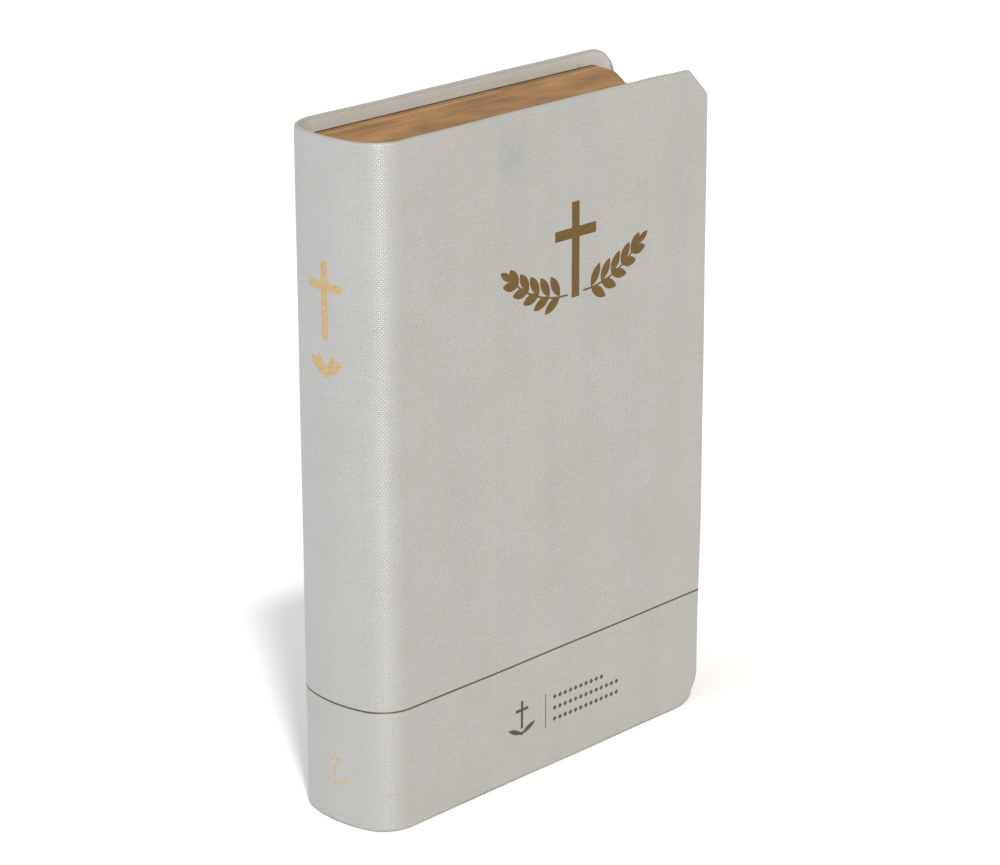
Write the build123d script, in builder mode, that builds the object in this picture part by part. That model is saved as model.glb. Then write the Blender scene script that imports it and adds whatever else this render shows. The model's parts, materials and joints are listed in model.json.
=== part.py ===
from build123d import *

import os
from math import cos, pi, radians, tan

# A pocket-size bible in a soft cloth cover. It stands on its tail edges, with the front cover
# facing -Y, the rounded spine at -X and the fore-edge at +X. All sizes are in millimetres.

# ---------------------------------------------------------------- driving dimensions
cover_height = 175.0
cover_width = 107.3  # flat part of a cover, from the shoulder of the spine to the fore-edge
book_thickness = 33.0
spine_bulge = 10.8  # how far the rounded spine stands out from the shoulders
shoulder_radius = 9.8  # the spine turns this tightly beside a cover, and less at its crown
cover_corner_radius = 9.5

cloth_thickness = 0.35
board_thickness = 0.7
inlay_thickness = 0.5
pastedown_thickness = 0.12
turn_in = 12.0  # width of cloth folded over a board's edges
paper_square = 3.8  # how far the pastedown stays inside a cover's edges
board_setback = 1.5  # cloth left without board, beside the shoulder, so that it can bend
hinge_slit = 0.05  # half of the parting between the spine's cloth and a cover's cloth

section_count = 24
block_height = 167.0
block_thickness = 29.6
backs_bulge = 8.85  # rounded spine of the text block
backs_half_width = 14.5
backs_shoulder_radius = 7.85
leaf_gap = 0.05
leaf_corner_radius = 6.5
endpaper_thickness = 0.12
fore_edge_square = 3.7  # cover beyond the widest leaves
first_bend = 5.2  # from the shoulder to the line where the outermost section bends
flyleaf_bend = 5.0
widest_turn = 90.0  # degrees the outermost section turns when its cover is fully open

hollow_depth = 10.4  # concave fore-edge
hollow_centre = -4.0  # the hollow is deepest a little towards the front cover
hollow_reach_front = 12.0
hollow_reach_back = 19.0

thread_thickness = 0.25
thread_width = 0.8
mull_thickness = 0.15
lining_thickness = 0.2
lining_half_width = 12.5
sewing_stations = 6

foil_depth = 0.05
rule_height = 32.2
rule_width = 0.45

# ---------------------------------------------------------------- worked-out places
shoulder_x = (spine_bulge - cover_width) / 2
fore_edge_x = shoulder_x + cover_width
cover_half = book_thickness / 2
block_half = block_thickness / 2
block_bottom = (cover_height - block_height) / 2
section_pitch = block_thickness / section_count
board_depth = cloth_thickness
turn_in_depth = board_depth + board_thickness
pastedown_depth = turn_in_depth + cloth_thickness

os.makedirs("parts", exist_ok=True)


def keep(piece, name):
    """Label a finished piece and write its STEP file."""
    piece.part.label = name
    export_step(piece.part, "parts/" + name + ".step")


# ---------------------------------------------------------------- spine profiles
def layer(depth):
    """Bulge, half width and shoulder radius of the spine, this far below its outer face."""
    return spine_bulge - depth, cover_half - depth, shoulder_radius - depth


def block_layer(height):
    """The same for a sheet whose outer face is this far outside the backs of the sections."""
    return backs_bulge + height, backs_half_width + height, backs_shoulder_radius + height


def draw_rounded(bulge, half_width, side_radius):
    """Three tangent arcs from the front shoulder to the back shoulder."""
    crown_radius = (bulge**2 + half_width**2 - 2 * half_width * side_radius) / (
        2 * (bulge - side_radius)
    )
    reach = side_radius / (crown_radius - side_radius)
    join_x = shoulder_x - (crown_radius - bulge) * reach
    join_y = (half_width - side_radius) * (1 + reach)
    front = TangentArc((shoulder_x, -half_width), (join_x, -join_y), tangent=(-1, 0))
    crown = TangentArc(front @ 1, (join_x, join_y), tangent=front % 1)
    TangentArc(crown @ 1, (shoulder_x, half_width), tangent=crown % 1)


def spine_band(outer, inner, bottom=0.0):
    """Plan of a curved sheet between two profiles, at the height of its lower edge."""
    with BuildSketch(Plane.XY.offset(bottom)) as band:
        with BuildLine():
            draw_rounded(*outer)
            Line((shoulder_x, outer[1]), (shoulder_x, inner[1]))
            draw_rounded(*inner)
            Line((shoulder_x, -inner[1]), (shoulder_x, -outer[1]))
        make_face()
    return band.sketch


def lining_band(outer, inner, bottom):
    """A curved sheet's plan, cut to the width of the spine linings."""
    with BuildSketch(Plane.XY.offset(bottom)) as band:
        add(spine_band(outer, inner))
        with Locations((shoulder_x - spine_bulge / 2, 0)):
            Rectangle(spine_bulge, 2 * lining_half_width, mode=Mode.INTERSECT)
    return band.sketch


# ---------------------------------------------------------------- cover outlines
def sheet_plane(side, depth):
    """Plane this far below a cover's outer face; side is -1 in front and 1 behind."""
    return Plane.XZ.offset(side * (depth - cover_half))


def sheet(side, depth, start_x, inset, corner_radius):
    """Outline of a cover layer, set in from the head, the tail and the fore-edge."""
    end_x = fore_edge_x - inset
    with BuildSketch(sheet_plane(side, depth)) as outline:
        with Locations(((start_x + end_x) / 2, cover_height / 2)):
            Rectangle(end_x - start_x, cover_height - 2 * inset)
        fillet(outline.vertices().sort_by(Axis.X)[-2:], corner_radius)
    return outline.sketch


# ---------------------------------------------------------------- ornaments
def leaf_shape(length, width):
    """A pointed leaf, with its stalk at the origin and its tip along +X."""
    with BuildSketch() as leaf:
        with BuildLine():
            ThreePointArc((0, 0), (length / 2, width / 2), (length, 0))
            ThreePointArc((length, 0), (length / 2, -width / 2), (0, 0))
        make_face()
    return leaf.sketch


def latin_cross(height, span, stroke):
    """A plain cross, centred across, standing on the origin."""
    with BuildSketch() as cross:
        with Locations((0, height / 2)):
            Rectangle(stroke, height)
        with Locations((0, height * 0.68)):
            Rectangle(span, stroke)
    return cross.sketch


def cover_ornament():
    """A cross between two sprigs of paired leaves, standing on the origin."""
    leaf_pairs = 5
    with BuildSketch() as ornament:
        add(latin_cross(24.4, 14.6, 2.7))
        for hand in (-1, 1):
            with BuildLine():
                ThreePointArc((hand * 3.0, 1.1), (hand * 13.5, 3.0), (hand * 23.0, 9.4))
                offset(amount=0.25)
            make_face()
            for step in range(leaf_pairs):
                along = step / (leaf_pairs - 1)
                root = (hand * (5.6 + 14.6 * along), 1.4 + 5.9 * along**1.5)
                for lift in (60 - 4 * along, -34 + 40 * along):
                    angle = lift if hand > 0 else 180 - lift
                    with Locations(Location((*root, 0), angle)):
                        add(leaf_shape(6.4 - along, 2.6))
            tip_angle = 34 if hand > 0 else 146
            with Locations(Location((hand * 22.6, 9.0, 0), tip_angle)):
                add(leaf_shape(4.6, 1.9))
    return ornament.sketch


def spine_ornament():
    """A cross above one pair of leaves, standing on the origin."""
    with BuildSketch() as ornament:
        with Locations((0, 9.5)):
            add(latin_cross(19.5, 11.6, 2.0))
        for angle in (35, 145):
            with Locations(Location((0, 1.0, 0), angle)):
                add(leaf_shape(6.6, 2.4))
        for angle in (62, 118):
            with Locations(Location((0, 0.6, 0), angle)):
                add(leaf_shape(6.0, 1.7))
        with Locations((0, 1.1)):
            Circle(0.9)
    return ornament.sketch


def foot_ornament():
    """A small cross above one pair of leaves, standing on the origin."""
    with BuildSketch() as ornament:
        with Locations((0, 2.4)):
            add(latin_cross(7.6, 4.6, 0.8))
        for angle in (24, 156):
            with Locations(Location((0, 0.9, 0), angle)):
                add(leaf_shape(5.4, 1.3))
        with Locations((0, 1.0)):
            Circle(0.55)
    return ornament.sketch


def lozenge_rows():
    """A hairline and three rows of small lozenges beside it."""
    pitch_x = 1.95
    with BuildSketch() as rows:
        with Locations((0, 16.0)):
            Rectangle(0.25, 9.6)
        for count, height in ((10, 19.0), (13, 15.9), (13, 12.8)):
            for step in range(count):
                with Locations(Location((3.4 + pitch_x * step, height, 0), 45)):
                    Rectangle(1.0, 1.0)
    return rows.sketch


# ---------------------------------------------------------------- gold foil
title_x = 9.55
title_z = 124.6
foot_x = -9.2
foot_z = 11.6
hairline_x = -0.45
spine_title = (0.0, 116.0)
spine_foot = (-0.5, 9.6)

with BuildPart() as front_title_foil:
    with BuildSketch(sheet_plane(-1, 0).moved(Location((title_x, title_z, 0)))):
        add(cover_ornament())
    extrude(amount=-foil_depth)

with BuildPart() as front_foot_foil:
    with BuildSketch(sheet_plane(-1, 0).moved(Location((foot_x, foot_z, 0)))):
        add(foot_ornament())
    with BuildSketch(sheet_plane(-1, 0).moved(Location((hairline_x, 0, 0)))):
        add(lozenge_rows())
    extrude(amount=-foil_depth)


def rule_foil(side):
    """The thin gold line that crosses one cover."""
    length = cover_width - hinge_slit
    with BuildPart() as rule:
        with BuildSketch(sheet_plane(side, 0)):
            with Locations((fore_edge_x - length / 2, rule_height)):
                Rectangle(length, rule_width)
        extrude(amount=side * foil_depth)
    return rule


front_rule_foil = rule_foil(-1)
back_rule_foil = rule_foil(1)


def spine_foil(drawing, place):
    """An ornament pressed into the curved face of the spine, at (across, height)."""
    pressing_plane = Plane.YZ.offset(shoulder_x - spine_bulge - 1)
    with BuildPart() as foil:
        extrude(spine_band(layer(0), layer(foil_depth)), amount=cover_height)
        with BuildSketch(pressing_plane.moved(Location((*place, 0)))):
            add(drawing)
        extrude(amount=spine_bulge, mode=Mode.INTERSECT)
    return foil


spine_title_foil = spine_foil(spine_ornament(), spine_title)
spine_foot_foil = spine_foil(foot_ornament(), spine_foot)

with BuildPart() as spine_rule_foil:
    rule_bottom = rule_height - rule_width / 2
    extrude(spine_band(layer(0), layer(foil_depth), rule_bottom), amount=rule_width)

# ---------------------------------------------------------------- covers


def cover_cloth(side, foils):
    """Cloth over a board: outer face, edges and the turn-in folded to the inside."""
    start_x = shoulder_x + hinge_slit
    inner_radius = cover_corner_radius - cloth_thickness
    pocket = sheet(side, board_depth, start_x, cloth_thickness, inner_radius)
    opening = sheet(side, turn_in_depth, start_x, turn_in, cloth_thickness)
    with BuildPart() as cloth:
        extrude(sheet(side, 0, start_x, 0, cover_corner_radius), amount=side * pastedown_depth)
        extrude(pocket, amount=side * board_thickness, mode=Mode.SUBTRACT)
        extrude(opening, amount=side * cloth_thickness, mode=Mode.SUBTRACT)
        for foil in foils:
            add(foil.part, mode=Mode.SUBTRACT)
    return cloth


def cover_board(side):
    """Flexible board, thinner under the turn-in."""
    start_x = shoulder_x + board_setback
    outer_radius = cover_corner_radius - cloth_thickness
    with BuildPart() as board:
        outer = sheet(side, board_depth, start_x, cloth_thickness, outer_radius)
        extrude(outer, amount=side * board_thickness)
        extrude(
            sheet(side, turn_in_depth, start_x, turn_in, cloth_thickness),
            amount=side * cloth_thickness,
        )
    return board


def pastedown(side):
    """Endpaper pasted over the board and the inner part of the turn-in."""
    start_x = shoulder_x + board_setback
    outline = sheet(side, pastedown_depth, start_x, paper_square, leaf_corner_radius)
    with BuildPart() as paper:
        extrude(outline, amount=side * pastedown_thickness)
    return paper


front_cover_cloth = cover_cloth(-1, [front_title_foil, front_foot_foil, front_rule_foil])
back_cover_cloth = cover_cloth(1, [back_rule_foil])
front_board = cover_board(-1)
back_board = cover_board(1)
front_pastedown = pastedown(-1)
back_pastedown = pastedown(1)

# ---------------------------------------------------------------- spine of the cover
inlay_face = layer(cloth_thickness)
inlay_back = layer(cloth_thickness + inlay_thickness)
turn_in_back = layer(2 * cloth_thickness + inlay_thickness)

with BuildPart() as spine_cloth:
    extrude(spine_band(layer(0), turn_in_back), amount=cover_height)
    extrude(
        spine_band(inlay_face, inlay_back, cloth_thickness),
        amount=cover_height - 2 * cloth_thickness,
        mode=Mode.SUBTRACT,
    )
    extrude(
        spine_band(inlay_back, turn_in_back, turn_in),
        amount=cover_height - 2 * turn_in,
        mode=Mode.SUBTRACT,
    )
    for spine_mark in (spine_title_foil, spine_foot_foil, spine_rule_foil):
        add(spine_mark.part, mode=Mode.SUBTRACT)

with BuildPart() as spine_inlay:
    extrude(
        spine_band(inlay_face, inlay_back, cloth_thickness),
        amount=cover_height - 2 * cloth_thickness,
    )

# ---------------------------------------------------------------- leaves


def fore_edge(across):
    """X of the concave fore-edge at this distance from the middle of the block."""
    reach = hollow_reach_front if across < hollow_centre else hollow_reach_back
    share = min(abs(across - hollow_centre) / reach, 1.0)
    return fore_edge_x - fore_edge_square - hollow_depth * cos(share * pi / 2) ** 2


def section_turns():
    """Largest turn of each section in one half of the block, outermost first."""
    half = section_count // 2
    return [widest_turn * (half - step) / half for step in range(half)]


def bend_lines():
    """X where each section starts to turn, so that no two turned sections meet."""
    lines = [shoulder_x + first_bend]
    for turn in section_turns()[1:]:
        lines.append(lines[-1] + section_pitch * tan(radians(turn / 2)))
    return lines + lines[::-1]


def leaf_sheet(across, start_x, end_x, thickness):
    """A stack of leaves with rounded fore-edge corners, growing towards +Y."""
    with BuildPart() as leaves:
        with BuildSketch(Plane.XZ.offset(-across)) as outline:
            with Locations(((start_x + end_x) / 2, cover_height / 2)):
                Rectangle(end_x - start_x, block_height)
            fillet(outline.vertices().sort_by(Axis.X)[-2:], leaf_corner_radius)
        extrude(amount=-thickness)
    return leaves


bends = bend_lines()
flyleaf_start = shoulder_x + flyleaf_bend + leaf_gap
flyleaf_end = fore_edge_x - fore_edge_square
flyleaf_outer = cover_half - pastedown_depth - pastedown_thickness - 0.03
front_flyleaf = leaf_sheet(-flyleaf_outer, flyleaf_start, flyleaf_end, endpaper_thickness)
back_flyleaf = leaf_sheet(
    flyleaf_outer - endpaper_thickness, flyleaf_start, flyleaf_end, endpaper_thickness
)

for index in range(section_count):
    low_y = -block_half + index * section_pitch + leaf_gap / 2
    section = leaf_sheet(
        low_y,
        bends[index] + leaf_gap,
        fore_edge(low_y + section_pitch / 2),
        section_pitch - leaf_gap,
    )
    keep(section, f"section_{index + 1:02d}")

# The backs of the sections, sewn and glued together, up to the line where each one bends.
with BuildPart() as bound_backs:
    with BuildSketch(Plane.XY.offset(block_bottom)):
        with BuildLine():
            draw_rounded(*block_layer(0))
            Line((shoulder_x, backs_half_width), (shoulder_x, -backs_half_width))
        make_face()
        for index in range(section_count):
            mid_y = -block_half + (index + 0.5) * section_pitch
            with Locations(((shoulder_x + bends[index]) / 2, mid_y)):
                Rectangle(bends[index] - shoulder_x, section_pitch)
    extrude(amount=block_height)

# ---------------------------------------------------------------- linings on the block's spine
thread_face = block_layer(thread_thickness)
mull_face = block_layer(thread_thickness + mull_thickness)
lining_face = block_layer(thread_thickness + mull_thickness + lining_thickness)
lining_height = block_height - 6.0
lining_bottom = block_bottom + 3.0

with BuildPart() as sewing_thread:
    for station in range(sewing_stations):
        height = block_bottom + block_height * (station + 0.5) / sewing_stations
        extrude(lining_band(thread_face, block_layer(0), height), amount=thread_width)

with BuildPart() as spine_mull:
    extrude(lining_band(mull_face, thread_face, lining_bottom), amount=lining_height)

with BuildPart() as spine_lining:
    extrude(lining_band(lining_face, mull_face, lining_bottom), amount=lining_height)

# ---------------------------------------------------------------- write the pieces
keep(front_cover_cloth, "front_cover_cloth")
keep(front_board, "front_board")
keep(front_pastedown, "front_pastedown")
keep(front_flyleaf, "front_flyleaf")
keep(front_title_foil, "front_title_foil")
keep(front_foot_foil, "front_foot_foil")
keep(front_rule_foil, "front_rule_foil")
keep(spine_cloth, "spine_cloth")
keep(spine_inlay, "spine_inlay")
keep(spine_title_foil, "spine_title_foil")
keep(spine_foot_foil, "spine_foot_foil")
keep(spine_rule_foil, "spine_rule_foil")
keep(bound_backs, "bound_backs")
keep(sewing_thread, "sewing_thread")
keep(spine_mull, "spine_mull")
keep(spine_lining, "spine_lining")
keep(back_cover_cloth, "back_cover_cloth")
keep(back_board, "back_board")
keep(back_pastedown, "back_pastedown")
keep(back_flyleaf, "back_flyleaf")
keep(back_rule_foil, "back_rule_foil")
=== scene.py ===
"""Looks of a pocket bible: a soft cover of pearly woven cloth, gilt edges and gold stampings.

Sizes are in millimetres in the row frame, and turn into metres where a mesh is made. The
cover is worked out on the flat sheet of cloth: "along" runs from the front shoulder of the
spine to the fore-edge, and below zero round the spine to the back shoulder. "depth" goes in
from the outer face.
"""

import json
from math import atan2, cos, pi, radians, sin

import bmesh
import bpy
import numpy as np
from mathutils import Euler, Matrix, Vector


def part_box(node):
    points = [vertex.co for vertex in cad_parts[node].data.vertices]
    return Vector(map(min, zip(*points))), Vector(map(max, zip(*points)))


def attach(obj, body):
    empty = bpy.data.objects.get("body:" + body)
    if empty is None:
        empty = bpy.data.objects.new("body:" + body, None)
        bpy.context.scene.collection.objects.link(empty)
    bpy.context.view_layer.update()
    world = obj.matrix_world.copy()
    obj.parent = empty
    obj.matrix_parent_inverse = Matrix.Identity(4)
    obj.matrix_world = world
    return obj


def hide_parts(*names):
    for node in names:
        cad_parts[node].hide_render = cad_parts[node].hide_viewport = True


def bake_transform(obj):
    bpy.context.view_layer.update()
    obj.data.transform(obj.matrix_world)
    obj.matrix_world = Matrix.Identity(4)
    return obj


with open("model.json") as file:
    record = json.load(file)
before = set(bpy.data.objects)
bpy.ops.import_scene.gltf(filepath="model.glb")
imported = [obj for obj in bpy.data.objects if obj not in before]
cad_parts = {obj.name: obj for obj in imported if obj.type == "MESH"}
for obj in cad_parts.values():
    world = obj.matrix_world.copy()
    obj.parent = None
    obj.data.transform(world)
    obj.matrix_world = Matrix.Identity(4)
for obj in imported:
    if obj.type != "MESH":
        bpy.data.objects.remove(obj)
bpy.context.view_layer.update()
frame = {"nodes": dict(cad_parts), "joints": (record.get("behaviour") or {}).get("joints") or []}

MM = 0.001


# ---------------------------------------------------------------- sizes from the frame
def box_mm(node):
    """Lowest and highest corner of a CAD node, in millimetres."""
    low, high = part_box(node)
    return np.array(low) / MM, np.array(high) / MM


spine_low, spine_high = box_mm("spine_cloth")
cover_low, cover_high = box_mm("front_cover_cloth")
inlay_low = box_mm("spine_inlay")[0]
backs_low, backs_high = box_mm("bound_backs")

shoulder_x = spine_high[0]
spine_bulge = shoulder_x - spine_low[0]
cover_half = spine_high[1]
cover_height = cover_high[2]
cover_width = cover_high[0] - shoulder_x
cloth = inlay_low[0] - spine_low[0]
case_thickness = cover_high[1] - cover_low[1]
board = case_thickness - 2 * cloth
block_low = backs_low[2]
block_half = backs_high[1]
joint_places = {j["name"]: np.array(j["pos_m"]) / MM for j in frame["joints"]}

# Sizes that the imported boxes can't say.
shoulder_radius = 9.8
corner_radius = 9.5
backs_half = 14.5
backs_radius = 7.85
leaf_corner = 6.5
turn_in = 12.0
raw_corner = 4.0
inlay_thickness = 0.5
hinge_reach = 2.6
board_clearance = 0.1
leaf_reach = 8.0
foil_proud = 0.025
corner_droop = 0.5  # the front cover's head corner
corner_draw = 2.0  # the back cover's head corner, towards the spine
weave_pitch = 0.5
pale_leaves = (12.75, 12.05)
smudge_place = (35.0, 164.0)
spine_thickness = inlay_thickness + 2 * cloth


def smooth(value, low, high):
    """0 up to low, 1 from high, and a soft step between them."""
    share = np.clip((np.asarray(value, float) - low) / (high - low), 0, 1)
    return share * share * (3 - 2 * share)


# ---------------------------------------------------------------- the cover's curved face
def rounded(bulge, half, radius):
    """Radius of the crown and half its angle, for a spine of three tangent arcs."""
    crown = (bulge**2 + half**2 - 2 * half * radius) / (2 * (bulge - radius))
    return crown, atan2(half - radius, crown - bulge)


crown_radius, crown_turn = rounded(spine_bulge, cover_half, shoulder_radius)
side_arc = shoulder_radius * (pi / 2 - crown_turn)
crown_arc = 2 * crown_radius * crown_turn
spine_arc = 2 * side_arc + crown_arc


def spine_normal_angle(back):
    """Turn of the outward normal from the front face, this far back round the spine."""
    front = np.clip(back, 0, side_arc) / shoulder_radius
    crown = np.clip(back - side_arc, 0, crown_arc) / crown_radius
    rear = np.clip(back - side_arc - crown_arc, 0, side_arc) / shoulder_radius
    return front + crown + rear


def face_point(along):
    """Outer face of the cover in plan: x, y and the outward normal, for the front half."""
    back = np.clip(-along, 0, spine_arc)
    turn = spine_normal_angle(back)
    normal_x = -np.sin(turn)
    normal_y = -np.cos(turn)
    crown_x = shoulder_x - spine_bulge + crown_radius
    side_y = cover_half - shoulder_radius
    centre_x = np.where(back < side_arc, shoulder_x, crown_x)
    centre_x = np.where(back > side_arc + crown_arc, shoulder_x, centre_x)
    centre_y = np.where(back < side_arc, -side_y, 0.0)
    centre_y = np.where(back > side_arc + crown_arc, side_y, centre_y)
    on_crown = (back >= side_arc) & (back <= side_arc + crown_arc)
    radius = np.where(on_crown, crown_radius, shoulder_radius)
    x = centre_x + radius * normal_x + np.maximum(along, 0)
    y = centre_y + radius * normal_y
    return x, y, normal_x, normal_y


def along_of(x, y):
    """The inverse of face_point for points near the front half's outer face."""
    crown_x = shoulder_x - spine_bulge + crown_radius
    side_y = cover_half - shoulder_radius
    crown_angle = np.arctan2(-y, crown_x - x)
    side_angle = np.arctan2(shoulder_x - x, -y - side_y)
    rear_angle = np.arctan2(shoulder_x - x, y - side_y)
    back = side_arc + crown_radius * (crown_turn - crown_angle)
    back = np.where(crown_angle > crown_turn, shoulder_radius * side_angle, back)
    back = np.where(crown_angle < -crown_turn, spine_arc - shoulder_radius * rear_angle, back)
    past = np.where(y < 0, x - shoulder_x, -spine_arc)
    return np.where(x >= shoulder_x, past, -back)


def swell(along, z, side):
    """How far the soft cover stands out from its flat face, from handling and glue."""
    panel = smooth(along, 5, 38)
    arch = 0.34 * np.sin(pi * np.clip(z / cover_height, 0, 1)) * (1 - 0.45 * smooth(along, 60, 107))
    wave = 0.09 * np.sin(z / 10.6 + along / 31 + 1.3 * side) + 0.06 * np.sin(along / 7.9 - z / 17.3)
    spine = 0.05 * np.sin(z / 8.7 + along / 9.0) * smooth(-along, 4, 14) * smooth(along, -41, -30)
    return panel * (arch + wave) + spine


def edge_shift(along, z, side):
    """In-plane waviness of the folded edges: shift along the sheet, and shift upwards."""
    near_head = smooth(z, cover_height - 16, cover_height - 1)
    near_tail = 1 - smooth(z, 1, 16)
    near_fore = smooth(along, cover_width - 16, cover_width - 1)
    head = 0.05 * np.sin(along / 11.3 + 2.0 * side) + 0.03 * np.sin(along / 4.9 + 0.7)
    if side < 0:
        head = head - corner_droop * smooth(along, 84, 100)
    tail = 0.07 + 0.07 * np.sin(along / 9.7 + side)
    fore = 0.22 * np.sin(z / 24.0 + 0.9 * side) + 0.08 * np.sin(z / 8.1 + 2.1)
    if side > 0:
        at_corner = 1 - 0.75 * smooth(z, cover_height - 8, cover_height - 2)
        fore = fore - corner_draw * smooth(z, cover_height - 30, cover_height - 11) * at_corner
    return fore * near_fore, head * near_head + tail * near_tail


def place(along, z, depth, side):
    """Point on the cover, in millimetres. side is -1 in front and 1 behind."""
    shift_along, shift_up = edge_shift(along, z, side)
    along = along + shift_along
    x, y, normal_x, normal_y = face_point(along)
    out = swell(along, z, side) * (1 - smooth(depth, 0.5, case_thickness)) - depth
    return np.stack([x + out * normal_x, -side * (y + out * normal_y), z + shift_up], axis=-1)


def on_sheet(flat, side):
    """Places on the one flat sheet of cloth that covers front, spine and back."""
    return flat if side < 0 else np.stack([-spine_arc - flat[:, 0], flat[:, 1]], axis=-1)


# ---------------------------------------------------------------- mesh helpers
def mesh_object(name, points, faces, uv=None, rim_shade=None, material_of_face=None):
    """An object from points in millimetres, with its faces turned outwards.

    uv is one pair a vertex, in millimetres of cloth. rim_shade is 1 where the cloth is painted
    darker: painted shade on the folded rim at the head, which faces the light from above. The
    attribute rest keeps a vertex's place, so that a pattern stays on a piece that bends.
    """
    points = np.asarray(points, float)
    mesh = bpy.data.meshes.new(name)
    mesh.from_pydata((points * MM).tolist(), [], faces)
    if material_of_face is not None:
        mesh.polygons.foreach_set("material_index", material_of_face)
    attribute = mesh.attributes.new("rest", "FLOAT_VECTOR", "POINT")
    attribute.data.foreach_set("vector", points.astype(np.float32).ravel())
    if rim_shade is not None:
        attribute = mesh.attributes.new("rim_shade", "FLOAT", "POINT")
        attribute.data.foreach_set("value", np.asarray(rim_shade, np.float32))
    if uv is not None:
        layer = mesh.uv_layers.new(name="cloth")
        corner = np.zeros(len(mesh.loops), np.int32)
        mesh.loops.foreach_get("vertex_index", corner)
        layer.data.foreach_set("uv", np.asarray(uv, np.float32)[corner].ravel())
    mesh.polygons.foreach_set("use_smooth", np.ones(len(mesh.polygons), bool))
    editable = bmesh.new()
    editable.from_mesh(mesh)
    bmesh.ops.recalc_face_normals(editable, faces=editable.faces)
    editable.to_mesh(mesh)
    editable.free()
    mesh.set_sharp_from_angle(angle=radians(48))
    piece = bpy.data.objects.new(name, mesh)
    bpy.context.scene.collection.objects.link(piece)
    return piece


def grid_faces(first, rows, columns):
    """Quads between neighbouring points of a grid whose first point has index first."""
    faces = []
    for row in range(rows - 1):
        for column in range(columns - 1):
            corner = first + row * columns + column
            faces.append((corner, corner + 1, corner + columns + 1, corner + columns))
    return faces


def strip_faces(one, other):
    """Quads between two lines of vertex indices."""
    return [(a, b, d, c) for a, b, c, d in zip(one[:-1], one[1:], other[:-1], other[1:])]


def steps(low, high, spacing):
    """Even stations from low to high, at most spacing apart."""
    return np.linspace(low, high, int(np.ceil((high - low) / spacing)) + 1)


def joined(*parts):
    """Stations joined end to end, without repeating the shared ones."""
    return np.concatenate([parts[0]] + [part[1:] for part in parts[1:]])


# ---------------------------------------------------------------- cloth of the cover
fold = case_thickness / 2
inset_corner = corner_radius - fold
corner_centre = cover_width - corner_radius
corner_steps = 18
gather_height = 0.26
cut_leg = 7.35
cut_softness = 1.8
fold_steps = 8
turn_steps = 5


def round_corner(power=2.0):
    """A corner from its edge to the fore-edge: how far out, how far up, and the normal.

    A power of 2 is a round corner, and a larger one is squarer.
    """
    turns = np.linspace(0, pi / 2, corner_steps)
    out = np.sin(turns)
    up = np.cos(turns)
    size = (out**power + up**power) ** (-1 / power)
    normal = np.stack([out ** (power - 1), np.maximum(up, 0) ** (power - 1)])
    return inset_corner * out * size, inset_corner * up * size, normal / np.hypot(*normal)


def cut_corner():
    """A corner cut off straight, with softened ends, given as round_corner gives one."""
    sharp = 2 * corner_radius - cut_leg - fold * 2**0.5 - inset_corner
    ease = sharp - cut_softness * (2**0.5 - 1)
    first = np.linspace(0, pi / 4, 6)
    second = np.linspace(pi / 4, pi / 2, 6)
    turns = np.concatenate([first, np.full(5, pi / 4), second, [pi / 2]])
    out_first = ease + cut_softness * np.sin(first)
    out_second = inset_corner - cut_softness * (1 - np.sin(second))
    up_first = inset_corner - cut_softness * (1 - np.cos(first))
    up_second = ease + cut_softness * np.cos(second)
    out = np.concatenate([out_first, out_second])
    up = np.concatenate([up_first, up_second])
    straight = np.linspace(0, 1, 7)[1:-1]
    out = np.concatenate([out[:6], out[5] + (out[6] - out[5]) * straight, out[6:], [inset_corner]])
    up = np.concatenate([up[:6], up[5] + (up[6] - up[5]) * straight, up[6:], [0.0]])
    return out, up, np.stack([np.sin(turns), np.cos(turns)])


def corner_outline(side, at_head):
    """The outline of one of a cover's two corners. The front one is cut flat at the head."""
    if at_head and side < 0:
        return cut_corner()
    return round_corner(2.15 if at_head else 2.0)


def sheet_rows(side):
    """The sheet's rows, tail first: height, where the row ends, and the outline's normal there."""
    tail_out, tail_up, tail_normal = corner_outline(side, False)
    head_out, head_up, head_normal = corner_outline(side, True)
    low = fold + inset_corner
    high = cover_height - low
    middle = steps(low, high, 1.6)
    straight = np.ones(len(middle) - 2)
    heights = joined(low - tail_up, middle, high + head_up[::-1])
    ends = np.concatenate([tail_out, straight * inset_corner, head_out[::-1]])
    normal_along = np.concatenate([tail_normal[0], straight, head_normal[0][::-1]])
    normal_z = np.concatenate([-tail_normal[1], 0 * straight, head_normal[1][::-1]])
    return heights, corner_centre + ends, normal_along, normal_z


def sheet_columns(start):
    """Stations along the sheet, close together where the cloth bends."""
    hinge = joined(steps(0, 3.2, 0.16), steps(3.2, 8, 0.6))
    panel = joined(hinge, steps(8, cover_width - fold, 1.6))
    if start >= 0:
        return panel
    rear = joined(steps(start, start + 3, 0.3), steps(start + 3, -3, 0.75), steps(-3, 0, 0.3))
    return joined(rear, panel)


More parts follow.
